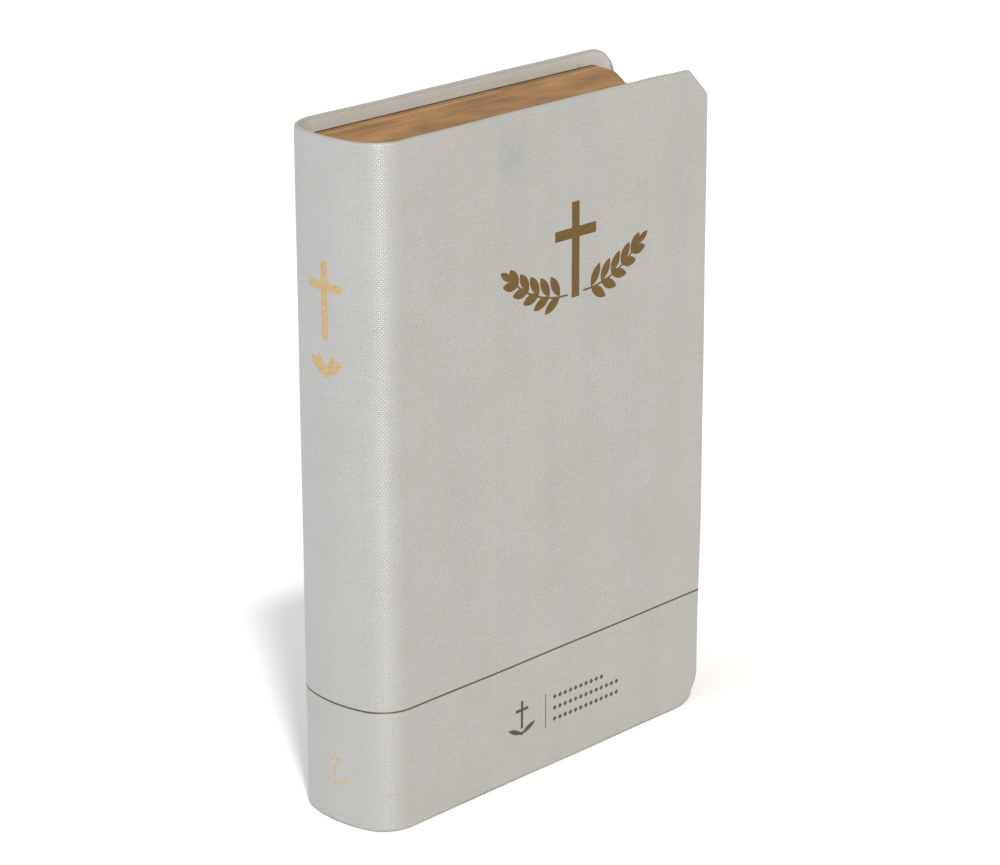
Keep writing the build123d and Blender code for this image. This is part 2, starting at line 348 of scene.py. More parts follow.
def cover_sheet(name, side, start):
    """One stretch of the cover's cloth with its folded edges, as a closed thin sheet."""
    heights, row_end, row_normal_along, row_normal_z = sheet_rows(side)
    columns = sheet_columns(start)
    rows = len(heights)
    count = len(columns)

    # The face: columns near the fore-edge close up where a row ends in a rounded corner.
    squeeze_from = corner_centre - 14
    share = np.clip((columns - squeeze_from) / (columns[-1] - squeeze_from), 0, None)
    squeezed = squeeze_from + share[None, :] * (row_end[:, None] - squeeze_from)
    along = np.where(columns[None, :] < squeeze_from, columns[None, :], squeezed)
    z = np.repeat(heights[:, None], count, axis=1)
    face_index = np.arange(rows * count).reshape(rows, count)

    # The loop round it, from the start at the head to the start at the tail.
    loop = np.concatenate([face_index[-1], face_index[-2::-1, -1], face_index[0, -2::-1]])
    normal_along = np.zeros(len(loop))
    normal_z = np.zeros(len(loop))
    edge = slice(count - 1, count - 1 + rows)
    normal_z[:count] = 1
    normal_z[count - 1 + rows :] = -1
    normal_along[edge] = row_normal_along[::-1]
    normal_z[edge] = row_normal_z[::-1]
    loop_along = along.ravel()[loop]
    loop_z = z.ravel()[loop]

    # Where the raw edge of the turned-in cloth comes to lie.
    step_length = np.hypot(np.diff(loop_along), np.diff(loop_z))
    travelled = np.concatenate([[0], np.cumsum(step_length)])
    raw_centre = cover_width - turn_in - raw_corner
    raw_along = np.minimum(loop_along, raw_centre)
    raw_z = np.clip(loop_z, turn_in, cover_height - turn_in)
    for head in (True, False):
        in_half = loop_z > cover_height / 2 if head else loop_z < cover_height / 2
        flat = cover_height - turn_in - raw_corner if head else turn_in + raw_corner
        close = in_half & (loop_along > raw_centre) & (np.abs(loop_z - flat) < raw_corner + turn_in)
        way = travelled[close]
        turned = (way - way[0]) / (way[-1] - way[0]) * pi / 2
        if not head:
            turned = turned[::-1]
        raw_along[close] = raw_centre + raw_corner * np.sin(turned)
        raw_z[close] = flat + (1 if head else -1) * raw_corner * np.cos(turned)
    beyond = (loop_along > raw_centre) & (raw_along == raw_centre)
    raw_along[beyond] = raw_centre + raw_corner

    # Gathers where the turned-in cloth goes round a corner.
    corner_turn = np.arctan2(normal_along, np.abs(normal_z))
    in_corner = np.sin(2 * corner_turn) ** 0.5
    gather = in_corner * (0.5 + 0.5 * np.cos(11 * corner_turn + 0.6))

    thickness = case_thickness + (spine_thickness - case_thickness) * (1 - smooth(loop_along, 0, 1.5))
    points = []
    patterns = []
    rim_shade = []
    for skin in (0.0, cloth):
        points.append(place(along.ravel(), z.ravel(), skin + 0 * z.ravel(), side))
        patterns.append(np.stack([along.ravel(), z.ravel()], axis=-1))
        rim_shade.append(np.zeros(rows * count))
        for step in range(1, fold_steps + 1):
            turn = pi * step / fold_steps
            out = (fold - skin) * sin(turn)
            depth = thickness / 2 - (thickness / 2 - skin) * cos(turn)
            depth = depth + gather_height * gather * sin(turn / 2) ** 4
            ring_along = loop_along + normal_along * out
            ring_z = loop_z + normal_z * out
            points.append(place(ring_along, ring_z, depth, side))
            past = fold * turn
            flat = [loop_along + normal_along * past, loop_z + normal_z * past]
            patterns.append(np.stack(flat, axis=-1))
            # Painted shade on the folded rim at the head, darkest at the middle of the fold; none at the
            # tail.
            rim_shade.append(np.where(loop_z > cover_height / 2, sin(turn), 0.0))
        for step in range(1, turn_steps + 1):
            share = step / turn_steps
            ring_along = loop_along + (raw_along - loop_along) * share
            ring_z = loop_z + (raw_z - loop_z) * share
            depth = thickness - skin + gather_height * gather * (1 - share) ** 4
            points.append(place(ring_along, ring_z, depth, side))
            past = fold * pi + share * (turn_in - fold)
            flat = [loop_along + normal_along * past, loop_z + normal_z * past]
            patterns.append(np.stack(flat, axis=-1))
            rim_shade.append(np.zeros(len(loop)))

    faces = []
    inside = []
    ring_count = fold_steps + turn_steps
    skin_size = rows * count + ring_count * len(loop)
    ends = []
    for skin in (0, 1):
        first = skin * skin_size
        faces += grid_faces(first, rows, count)
        inside += [0] * (len(faces) - len(inside) + (len(loop) - 1) * fold_steps)
        lines = [first + loop]
        for ring in range(ring_count):
            lines.append(first + rows * count + ring * len(loop) + np.arange(len(loop)))
        for one, other in zip(lines[:-1], lines[1:]):
            faces += strip_faces(one.tolist(), other.tolist())
        inside += [1] * (len(faces) - len(inside))
        head_end = [line[0] for line in lines[::-1]]
        tail_end = [line[-1] for line in lines]
        start_column = (first + face_index[::-1, 0]).tolist()
        ends.append((head_end[:-1] + start_column + tail_end[1:], lines[-1].tolist()))
    faces += strip_faces([int(i) for i in ends[0][0]], [int(i) for i in ends[1][0]])
    faces += strip_faces(ends[0][1], ends[1][1])
    inside += [0] * (len(faces) - len(inside))
    return mesh_object(
        name,
        np.concatenate(points),
        faces,
        uv=on_sheet(np.concatenate(patterns), side),
        rim_shade=np.concatenate(rim_shade),
        material_of_face=inside,
    )


# ---------------------------------------------------------------- gold stampings
def foil_piece(node, name, side):
    """A CAD stamping laid on the cover's softer face, cut finely enough to follow it."""
    mesh = frame["nodes"][node].data.copy()
    mesh.materials.clear()
    cutting = bmesh.new()
    cutting.from_mesh(mesh)
    bmesh.ops.remove_doubles(cutting, verts=cutting.verts, dist=1e-6)
    low, high = box_mm(node)
    stations = [x for x in np.arange(np.ceil(low[0]), high[0], 2.0)]
    stations += [x for x in shoulder_x + np.arange(0.2, 3.4, 0.2) if low[0] < x < high[0]]
    edge_start = shoulder_x + cover_width - fold
    stations += [x for x in edge_start + np.arange(0, fold, 0.1) if low[0] < x < high[0]]
    for normal, places in (((1, 0, 0), stations), ((0, 0, 1), np.arange(low[2] + 1, high[2], 2.0))):
        for at in places:
            everything = list(cutting.verts) + list(cutting.edges) + list(cutting.faces)
            point = np.array(normal) * at * MM
            bmesh.ops.bisect_plane(cutting, geom=everything, plane_co=point, plane_no=normal)
    points = np.array([v.co for v in cutting.verts]) / MM
    if "rule" in node:
        # The line runs on past the seam between two CAD nodes.
        seam_end = high[0] if node.startswith("spine") else low[0]
        points[np.abs(points[:, 0] - seam_end) < 0.02, 0] = shoulder_x
    cutting.verts.index_update()
    faces = [[v.index for v in f.verts] for f in cutting.faces]
    cutting.free()
    bpy.data.meshes.remove(mesh)
    toward_front = -side * points[:, 1]
    along = along_of(points[:, 0], toward_front)
    x, y, normal_x, normal_y = face_point(along)
    depth = -((points[:, 0] - x) * normal_x + (toward_front - y) * normal_y)
    past = np.clip(along - (cover_width - fold), 0, None) / fold
    along = np.where(past > 0, cover_width - fold + (fold + foil_proud) * np.sin(past), along)
    depth = depth - foil_proud + fold * (1 - np.cos(past))
    flat = on_sheet(np.stack([along, points[:, 2]], axis=-1), side)
    return mesh_object(name, place(along, points[:, 2], depth, side), faces, uv=flat)


# ---------------------------------------------------------------- leaves
leaf_bundles = 7
# The fore-edge steps in and out where the block's gatherings meet, from the front to the back.
gathering_steps = (0.3, -0.4, -0.9, 1.9, 1.1, 2.1, 1.7, 0.8, 0.2)
random = np.random.RandomState(21)
section_count = sum(name.startswith("section_") for name in frame["nodes"])
section_middles = []
section_ends = []
for number in range(1, section_count + 1):
    low, high = box_mm(f"section_{number:02d}")
    section_middles.append((low[1] + high[1]) / 2)
    section_ends.append(high[0])

backs_bulge = shoulder_x - backs_low[0]
backs_crown, backs_turn = rounded(backs_bulge, backs_half, backs_radius)


def backs_x(across):
    """X of the rounded backs of the sections at this distance from the block's middle."""
    across = np.abs(across)
    crown_x = shoulder_x - backs_bulge + backs_crown
    crown = crown_x - np.sqrt(backs_crown**2 - np.minimum(across, backs_half) ** 2)
    over = np.clip(across - (backs_half - backs_radius), 0, backs_radius)
    side = shoulder_x - np.sqrt(backs_radius**2 - over**2)
    return np.where(across < backs_crown * sin(backs_turn), crown, side)


def gathering_offset(across):
    """How far the leaves here stand out from the smooth hollow of the fore-edge."""
    place_in_block = (across + block_half) / (2 * block_half) * (len(gathering_steps) - 1)
    index = np.clip(place_in_block.astype(int), 0, len(gathering_steps) - 2)
    share = smooth(place_in_block - index, 0.34, 0.66)
    offsets = np.array(gathering_steps)
    return offsets[index] * (1 - share) + offsets[index + 1] * share


def leaf_outline(start, end, bend, low, high, inset):
    """Head, fore-edge and tail of one leaf as a line of (x, z) points."""
    bend_end = bend + leaf_reach
    turns = np.linspace(0, pi / 2, 7)
    centre = end - leaf_corner
    head_x = joined(
        np.linspace(start, bend, 3), np.linspace(bend, bend_end, 11), np.linspace(bend_end, centre, 8)
    )
    top = high - inset
    corner_x = centre + (leaf_corner - inset) * np.sin(turns)
    corner_z = high - leaf_corner + (leaf_corner - inset) * np.cos(turns)
    head = [(x, top) for x in head_x[:-1]] + list(zip(corner_x, corner_z))
    middle = low + high
    straight = middle - 2 * (low + leaf_corner)
    side = [(end - inset, high - leaf_corner - straight * t) for t in (0.25, 0.5, 0.75)]
    tail = [(x, middle - z) for x, z in head[::-1]]
    return head + side + tail


def leaf_block(name, node, profile, ends, insets, bend, starts):
    """A stack of leaves as one closed solid: a leaf outline at each height of its profile."""
    low, high = box_mm(node)
    lines = []
    for across, end, inset, start in zip(profile, ends, insets, starts):
        outline = leaf_outline(start, end, bend, low[2], high[2], inset)
        lines.append([(x, across, z) for x, z in outline])
    levels = len(lines)
    count = len(lines[0])
    faces = grid_faces(0, levels, count)
    kinds = [1] * len(faces)
    last = (levels - 1) * count
    for first in (0, last):
        for k in range(count // 2 - 1):
            faces.append((first + k, first + k + 1, first + count - 2 - k, first + count - 1 - k))
            kinds.append(0)
        if count % 2:
            half = count // 2
            faces.append((first + half - 1, first + half, first + half + 1))
            kinds.append(0)
    for level in range(levels - 1):
        a = level * count
        faces.append((a, a + count, a + 2 * count - 1, a + count - 1))
        kinds.append(0)
    points = np.array(lines).reshape(-1, 3)
    return mesh_object(name, points, faces, material_of_face=kinds)


def section_piece(number):
    """One sewn section with the edges of its leaves standing a little unevenly."""
    node = f"section_{number:02d}"
    low, high = box_mm(node)
    bend = joint_places[node + "_turn"][0]
    bundle = (high[1] - low[1]) / leaf_bundles
    profile = []
    insets = []
    jitter = []
    for step in range(leaf_bundles):
        base = low[1] + step * bundle
        proud = 0.02 + 0.05 * random.rand()
        out = 0.44 * random.rand() - 0.22 if 0 < step < leaf_bundles - 1 else 0.0
        for share, inset in ((0.0, 0.11), (0.22, proud), (0.78, proud)):
            profile.append(base + share * bundle)
            insets.append(inset)
            jitter.append(out)
    profile.append(high[1])
    insets.append(0.11)
    jitter.append(jitter[-1])
    profile = np.array(profile)
    ends = np.interp(profile, section_middles, section_ends) + np.array(jitter)
    ends = np.minimum(ends + gathering_offset(profile), max(section_ends) + 0.3)
    piece = leaf_block("leaves_" + node[-2:], node, profile, ends, insets, bend, backs_x(profile))
    piece.data.materials.append(paper)
    piece.data.materials.append(gilt)
    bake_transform(piece)
    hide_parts(node, "bound_backs")
    return piece


def flyleaf_piece(side_name):
    """The free endpaper, from the gutter to the fore-edge."""
    node = side_name + "_flyleaf"
    low, high = box_mm(node)
    bend = joint_places[node + "_turn"][0]
    profile = np.array([low[1], high[1]])
    ends = np.array([high[0], high[0]])
    starts = np.array([shoulder_x, shoulder_x])
    piece = leaf_block(node + "_paper", node, profile, ends, [0.0, 0.0], bend, starts)
    piece.data.materials.append(endpaper)
    piece.data.materials.append(gilt)
    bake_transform(piece)
    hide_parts(node)
    return piece


def pastedown_piece(side_name):
    """The endpaper pasted to the cover, divided finely near the hinge."""
    node = side_name + "_pastedown"
    low, high = box_mm(node)
    corner = leaf_corner
    hinge = joined(steps(0, 3.2, 0.2), steps(3.2, high[0] - corner - shoulder_x, 12))
    turns = np.linspace(0, pi / 2, 7)
    head = [(shoulder_x + x, high[2]) for x in hinge[:-1]]
    head += [(high[0] - corner + corner * sin(t), high[2] - corner + corner * cos(t)) for t in turns]
    outline = head + [(x, low[2] + high[2] - z) for x, z in head[::-1]]
    count = len(outline)
    points = [(x, across, z) for across in (low[1], high[1]) for x, z in outline]
    faces = strip_faces(list(range(count)), list(range(count, 2 * count)))
    faces.append((0, count, 2 * count - 1, count - 1))
    for first in (0, count):
        for k in range(count // 2 - 1):
            faces.append((first + k, first + k + 1, first + count - 2 - k, first + count - 1 - k))
    piece = mesh_object(node + "_paper", points, faces)
    piece.data.materials.append(endpaper)
    hinge_blend(piece)
    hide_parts(node)
    return piece


def board_piece(side_name, side):
    """The board inside a cover, its corners cut like those of the cloth, thinner under the turn-in.

    It is stiff, so it starts beyond the stretch where the cloth bends.
    """
    node = side_name + "_board"
    low, high = box_mm(node)
    edge = cloth + 0.06
    start = shoulder_x + hinge_reach + board_clearance
    corners = []
    for at_head in (True, False):
        out, up, normal = corner_outline(side, at_head)
        grown = np.stack([out, up]) + normal * (fold - edge)
        corners.append(grown.T)
    centre = shoulder_x + corner_centre
    outer = [(start, cover_height - edge)]
    outer += [(centre + x, cover_height - corner_radius + z) for x, z in corners[0]]
    outer += [(centre + x, corner_radius - z) for x, z in corners[1][::-1]] + [(start, edge)]
    raw_centre = shoulder_x + cover_width - turn_in - raw_corner
    turns = np.linspace(0, pi / 2, 6)
    inner_head = cover_height - turn_in
    head = [(raw_centre + raw_corner * sin(t), inner_head - raw_corner * (1 - cos(t))) for t in turns]
    head = [(start, inner_head)] + head
    inner = head + [(x, cover_height - z) for x, z in head[::-1]]
    points = []
    faces = []
    outer_face = cover_half - cloth
    for outline, depths in ((outer, (0, board)), (inner, (board - 0.05, high[1] - low[1]))):
        first = len(points)
        count = len(outline)
        points += [(x, side * (outer_face - depth), z) for depth in depths for x, z in outline]
        ring = [first + k for k in range(count)] + [first]
        faces += strip_faces(ring, [count + k for k in ring])
        faces += [tuple(ring[:-1]), tuple(count + k for k in ring[:-1])]
    piece = mesh_object(node + "_card", points, faces)
    piece.data.materials.append(card)
    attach(piece, side_name + "_cover")
    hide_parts(node)
    return piece


def hinge_blend(piece):
    """Bakes the piece's placement into its mesh."""
    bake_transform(piece)


# ---------------------------------------------------------------- materials
class Recipe:
    """A node material under construction, with short calls for its nodes."""

    def __init__(self, name):
        self.material = bpy.data.materials.new(name)
        self.material.use_nodes = True
        self.tree = self.material.node_tree
        self.surface = self.tree.nodes["Principled BSDF"]

    def node(self, kind, settings=None, **inputs):
        made = self.tree.nodes.new("ShaderNode" + kind)
        for key, value in (settings or {}).items():
            setattr(made, key, value)
        for key, value in inputs.items():
            self.put(made, key.replace("_", " ").title() if not key.isdigit() else int(key), value)
        return made

    def put(self, node, key, value):
        socket = node.inputs[key]
        if isinstance(value, bpy.types.NodeSocket):
            self.tree.links.new(value, socket)
        else:
            socket.default_value = value

    def math(self, operation, *values):
        made = self.tree.nodes.new("ShaderNodeMath")
        made.operation = operation
        for index, value in enumerate(values):
            self.put(made, index, value)
        return made.outputs[0]

    def coordinates(self, scale=(1, 1, 1), attribute="rest"):
        """Places in millimetres, from the piece's own rest shape, times scale."""
        source = self.tree.nodes.new("ShaderNodeAttribute")
        source.attribute_name = attribute
        made = self.tree.nodes.new("ShaderNodeMapping")
        made.vector_type = "POINT"
        self.put(made, "Vector", source.outputs["Vector"])
        made.inputs["Scale"].default_value = scale
        return made.outputs[0]

    def noise(self, vector, scale=1.0, detail=2.0, roughness=0.5):
        made = self.node("TexNoise", None, scale=scale, detail=detail, roughness=roughness)
        self.put(made, "Vector", vector)
        return made.outputs["Fac"]

    def ramp(self, value, *stops):
        made = self.tree.nodes.new("ShaderNodeValToRGB")
        elements = made.color_ramp.elements
        while len(elements) < len(stops):
            elements.new(0.5)
        for element, (position, colour) in zip(elements, stops):
            element.position = position
            element.color = (*colour, 1)
        self.put(made, "Fac", value)
        return made.outputs["Color"]

    def span(self, value, low, high, new_low, new_high):
        made = self.tree.nodes.new("ShaderNodeMapRange")
        self.put(made, "Value", value)
        ends = ("From Min", "From Max", "To Min", "To Max")
        for key, number in zip(ends, (low, high, new_low, new_high)):
            self.put(made, key, number)
        return made.outputs[0]

    def tint(self, factor, one, other, blend="MIX"):
        made = self.tree.nodes.new("ShaderNodeMix")
        made.data_type = "RGBA"
        made.blend_type = blend
        self.put(made, 0, factor)
        for index, value in ((6, one), (7, other)):
            self.put(made, index, (*value, 1) if isinstance(value, tuple) else value)
        return made.outputs[2]

    def darkened(self, share, shade, pattern, low, dark, high):
        """The shade times dark where the pattern is under low, and left alone where over high."""
        veil = self.ramp(pattern, (low, dark), (high, (1.0, 1.0, 1.0)))
        return self.tint(share, shade, veil, "MULTIPLY")

    def bump(self, height, distance, strength=1.0):
        """Bump by a height whose full span is this many millimetres."""
        made = self.node("Bump", None, strength=strength, distance=distance * MM)
        self.put(made, "Height", height)
        self.put(self.surface, "Normal", made.outputs[0])

    def finish(self, **inputs):
        for key, value in inputs.items():
            value = (*value, 1) if isinstance(value, tuple) and len(value) == 3 else value
            self.put(self.surface, key.replace("_", " "), value)
        return self.material


def weave_nodes(recipe):
    """Plain weave on the cloth's own map: height, which thread is on top, and two thread tones."""
    source = recipe.node("UVMap", {"uv_map": "cloth"}).outputs[0]
    drift = recipe.node("TexNoise", {"noise_dimensions": "2D"}, scale=0.32, detail=2.0)
    recipe.put(drift, "Vector", source)
    moved = recipe.node("VectorMath", {"operation": "MULTIPLY_ADD"})
    recipe.put(moved, 0, drift.outputs["Color"])
    recipe.put(moved, 1, (0.55, 0.55, 0))
    recipe.put(moved, 2, source)
    split = recipe.node("SeparateXYZ")
    recipe.put(split, 0, moved.outputs[0])
    u = recipe.math("DIVIDE", split.outputs[0], weave_pitch)
    v = recipe.math("DIVIDE", split.outputs[1], weave_pitch)
    column = recipe.math("FLOOR", u)
    row = recipe.math("FLOOR", v)

    def thread(across, line, onward, phase):
        round_top = recipe.math("ABSOLUTE", recipe.math("SINE", recipe.math("MULTIPLY", across, pi)))
        wave = recipe.math("SUBTRACT", recipe.math("ADD", onward, line), 0.5)
        painted_lift = recipe.math("COSINE", recipe.math("MULTIPLY", wave, pi))
        painted_lift = recipe.math("MULTIPLY_ADD", painted_lift, 0.42 * phase, 0.58)
        return recipe.math("MULTIPLY", recipe.math("POWER", round_top, 0.6), painted_lift)

    warp = thread(u, column, v, 1)
    weft = thread(v, row, u, -1)
    height = recipe.math("SMOOTH_MAX", warp, weft, 0.1)
    weft_on_top = recipe.math("GREATER_THAN", weft, warp)
    tones = []
    for line in (column, row):
        chance = recipe.node("TexWhiteNoise", {"noise_dimensions": "1D"})
        recipe.put(chance, "W", line)
        tones.append(chance.outputs["Value"])
    halves = [recipe.math("MULTIPLY", one, 0.5) for one in tones]
    tone = recipe.math("ADD", *halves)
    return source, height, weft_on_top, tone


def cloth_material(name, painted_lift):
    """Pearly woven cloth: pale threads that glint along the shoulders, with small slubs."""
    recipe = Recipe(name)
    source, height, weft_on_top, tone = weave_nodes(recipe)
    stretched = recipe.node("Mapping")
    recipe.put(stretched, "Vector", source)
    stretched.inputs["Scale"].default_value = (0.11, 2.0, 1)
    upright = recipe.node("Mapping")
    recipe.put(upright, "Vector", source)
    upright.inputs["Scale"].default_value = (2.0, 0.07, 1)
    panel = recipe.node("Mapping")
    recipe.put(panel, "Vector", source)
    panel.inputs["Scale"].default_value = (0.12, 0.008, 1)
    cloud = recipe.noise(source, 0.045, 4.0, 0.6)
    band = recipe.noise(panel.outputs[0], 1.0, 2.0)
    speck = recipe.noise(source, 1.3, 3.0, 0.6)
    slub = recipe.noise(stretched.outputs[0], 1.0, 2.0)
    upright_slub = recipe.noise(upright.outputs[0], 1.0, 2.0)
    # Painted shade and highlight: the colour follows thread height, darker in the hollows between
    # threads and lighter on the crowns, on top of the bump.
    shade = recipe.ramp(
        height, (0.2, (0.378, 0.372, 0.348)), (0.6, (0.420, 0.413, 0.388)), (0.95, (0.442, 0.435, 0.410))
    )
    shade = recipe.darkened(0.25, shade, tone, 0.1, (0.90, 0.895, 0.88), 0.9)
    shade = recipe.darkened(0.8, shade, cloud, 0.3, (0.93, 0.925, 0.915), 0.7)
    shade = recipe.darkened(0.8, shade, band, 0.35, (0.962, 0.967, 0.972), 0.6)
    shade = recipe.darkened(0.6, shade, slub, 0.22, (0.80, 0.785, 0.76), 0.36)
    shade = recipe.darkened(0.5, shade, speck, 0.28, (0.82, 0.80, 0.77), 0.45)
    smudge = recipe.node("VectorMath", {"operation": "DISTANCE"})
    recipe.put(smudge, 0, source)
    recipe.put(smudge, 1, (*smudge_place, 0.0))
    ragged = recipe.noise(source, 0.25, 2.0)
    reach = recipe.math("MULTIPLY_ADD", ragged, -9.0, smudge.outputs["Value"])
    smudge_share = recipe.span(reach, -3.5, 1.5, 0.7, 0.0)
    shade = recipe.tint(smudge_share, shade, recipe.tint(1.0, shade, (0.87, 0.88, 0.91), "MULTIPLY"))
    # Painted light: the colour times a lift, 1 on the outer cloth and above 1 on the turned-in cloth.
    shade = recipe.tint(1.0, shade, painted_lift, "MULTIPLY")
    # Painted shade: the cloth is darkened on the folded rim at the head, which faces the light.
    wear_and_painted_shade = recipe.node("Attribute", {"attribute_name": "rim_shade"}).outputs["Fac"]
    shade = recipe.tint(wear_and_painted_shade, shade, recipe.tint(1.0, shade, (0.80, 0.79, 0.77), "MULTIPLY"))
    lying = recipe.math("MULTIPLY", slub, 0.9)
    thick = recipe.math("ADD", lying, recipe.math("MULTIPLY", upright_slub, 0.7))
    relief = recipe.math("ADD", height, recipe.math("MULTIPLY", thick, 0.55))
    recipe.bump(relief, 0.06, 0.6)
    tangent = recipe.node("Tangent", {"direction_type": "UV_MAP", "uv_map": "cloth"})
    recipe.put(recipe.surface, "Tangent", tangent.outputs[0])
    turn = recipe.math("MULTIPLY", weft_on_top, 0.25)
    return recipe.finish(
        Base_Color=shade,
        Roughness=recipe.span(height, 0.45, 0.95, 0.62, 0.46),
        Anisotropic=0.6,
        Anisotropic_Rotation=turn,
        Specular_IOR_Level=recipe.span(height, 0.55, 0.95, 0.25, 1.0),
        Sheen_Weight=0.06,
        Sheen_Roughness=0.4,
    )


def foil_material(name, gold, bare, wear):
    """Gold foil pressed into the weave: it breaks a little over the hollows between threads."""
    recipe = Recipe(name)
    source, height = weave_nodes(recipe)[:2]
    patch = recipe.noise(source, 0.7, 4.0, 0.65)
    fine = recipe.noise(source, 3.0, 2.0)
    dark = tuple(c * 0.86 for c in gold)
    pale = tuple(c * 1.16 + 0.01 for c in gold)
    shade = recipe.ramp(patch, (0.3, dark), (0.55, gold), (0.8, pale))
    grain = recipe.math("MULTIPLY", fine, 0.5)
    wear_and_painted_shade = recipe.math("LESS_THAN", recipe.math("ADD", height, grain), wear)
    colour = recipe.tint(recipe.math("MULTIPLY", wear_and_painted_shade, 0.3), shade, bare)
    recipe.bump(height, 0.05, 0.7)
    return recipe.finish(
        Base_Color=colour,
        Metallic=recipe.math("MULTIPLY_ADD", wear_and_painted_shade, -0.5, 0.88),
        Roughness=recipe.span(patch, 0.3, 0.7, 0.36, 0.5),
    )


def gilt_material():
    """Dull gold on the cut edges of the leaves, streaked along them and rubbed darker in places."""
    recipe = Recipe("gilt_edge")
    leaf_line = recipe.noise(recipe.coordinates((0.03, 7.0, 0.03)), 1.0, 3.0, 0.6)
    band = recipe.noise(recipe.coordinates((0.018, 0.42, 0.018)), 1.0, 2.0)
    blotch = recipe.noise(recipe.coordinates((0.06, 0.16, 0.06)), 1.0, 3.0, 0.55)
    colour = recipe.ramp(
        blotch, (0.3, (0.280, 0.148, 0.048)), (0.5, (0.368, 0.204, 0.074)), (0.72, (0.425, 0.252, 0.102))
    )
    lines = recipe.ramp(leaf_line, (0.3, (0.62, 0.56, 0.48)), (0.62, (1.0, 1.0, 1.0)))
    bands = recipe.ramp(band, (0.3, (0.80, 0.74, 0.66)), (0.6, (1.0, 1.0, 1.0)))
    colour = recipe.tint(0.4, colour, lines, "MULTIPLY")
    colour = recipe.tint(0.45, colour, bands, "MULTIPLY")
    split = recipe.node("SeparateXYZ")
    recipe.put(split, 0, recipe.coordinates())
    gap = recipe.noise(recipe.coordinates((0.09, 0.3, 0.05)), 1.0, 2.0)
    broken = recipe.span(gap, 0.42, 0.55, 0.0, 0.8)
    for across in pale_leaves:
        distance = recipe.math("ABSOLUTE", recipe.math("SUBTRACT", split.outputs[1], across))
        pale = recipe.math("MULTIPLY", recipe.span(distance, 0.08, 0.22, 1.0, 0.0), broken)
        colour = recipe.tint(pale, colour, (0.55, 0.44, 0.29))
    recipe.bump(leaf_line, 0.06, 0.6)
    return recipe.finish(
        Base_Color=colour, Metallic=0.55, Roughness=recipe.span(blotch, 0.3, 0.7, 0.42, 0.62)
    )


def paper_material(name, colour, fibre_scale, shade_by, dark_edged=False):
    """Paper: a pale sheet with fibres and faint clouding, optionally with a near-black brown band along
    its top and bottom edges.
    """
    recipe = Recipe(name)
    fibre = recipe.noise(recipe.coordinates(), fibre_scale, 4.0, 0.7)
    cloud = recipe.noise(recipe.coordinates((0.05, 0.05, 0.05)), 1.0, 3.0)
    dark = tuple(c * shade_by for c in colour)
    shade = recipe.ramp(fibre, (0.35, dark), (0.65, colour))
    shade = recipe.darkened(0.5, shade, cloud, 0.3, (0.94, 0.93, 0.91), 0.7)
    if dark_edged:
        # The paper turns a near-black brown from about the block's head and tail heights outward.
        split = recipe.node("SeparateXYZ")
        recipe.put(split, 0, recipe.coordinates())
        above = recipe.math("SUBTRACT", split.outputs[2], cover_height / 2)
        from_middle = recipe.math("ABSOLUTE", above)
        reach = cover_height / 2 - block_low
        edge_band = recipe.span(from_middle, reach - 0.5, reach - 0.25, 0.0, 1.0)
        shade = recipe.tint(edge_band, shade, (0.085, 0.048, 0.026))
    recipe.bump(fibre, 0.03, 0.5)
    return recipe.finish(Base_Color=shade, Roughness=0.82, Specular_IOR_Level=0.3)


def plain_weave_material(name, colour, pitch, gap_colour):
    """Coarse gauze or sewing thread on a CAD node, woven in its own coordinates."""
    recipe = Recipe(name)
    place_node = recipe.tree.nodes.new("ShaderNodeTexCoord")
    split = recipe.node("SeparateXYZ")
    recipe.put(split, 0, place_node.outputs["Object"])
    lines = []
    for axis in (1, 2):
        count = recipe.math("DIVIDE", split.outputs[axis], pitch * MM)
        lines.append(recipe.math("ABSOLUTE", recipe.math("SINE", recipe.math("MULTIPLY", count, pi))))
    height = recipe.math("MAXIMUM", lines[0], lines[1])
    shade = recipe.ramp(height, (0.5, gap_colour), (0.85, colour))
    recipe.bump(height, 0.12, 0.8)
    return recipe.finish(Base_Color=shade, Roughness=0.85)


def board_material(name, colour):
    """Grey-brown card with flecks, in the piece's own coordinates."""
    recipe = Recipe(name)
    place_node = recipe.tree.nodes.new("ShaderNodeTexCoord")
    fleck = recipe.noise(place_node.outputs["Object"], 900.0, 3.0, 0.7)
    cloud = recipe.noise(place_node.outputs["Object"], 60.0, 3.0)
    shade = recipe.ramp(fleck, (0.32, tuple(c * 0.6 for c in colour)), (0.6, colour))
    shade = recipe.darkened(0.5, shade, cloud, 0.3, (0.85, 0.84, 0.82), 0.7)
    recipe.bump(fleck, 0.04, 0.6)
    return recipe.finish(Base_Color=shade, Roughness=0.9)


pearly = cloth_material("pearly_cloth", (1.0, 1.0, 1.0))
# Painted light: the turned-in cloth is the same cloth painted lighter and a little bluer, standing in
# for the floor's bounce light that the cover's inside face misses.
turned_in_painted_lighter = cloth_material("turned_in_cloth_painted_lighter", (1.3, 1.34, 1.38))
# Painted shade: the front's gold is the same foil as the spine's, painted darker to stand in for the
# dark surroundings it reflects.
foil = foil_material("gold_stamping", (0.158, 0.095, 0.028), (0.34, 0.28, 0.19), 0.52)
# Painted reflection: the spine title's gold is the same foil as the front's, painted brighter to stand
# in for the light it reflects on the spine.
painted_bright_foil = foil_material("gold_stamping_painted_bright", (0.51, 0.37, 0.18), (0.50, 0.42, 0.30), 0.52)
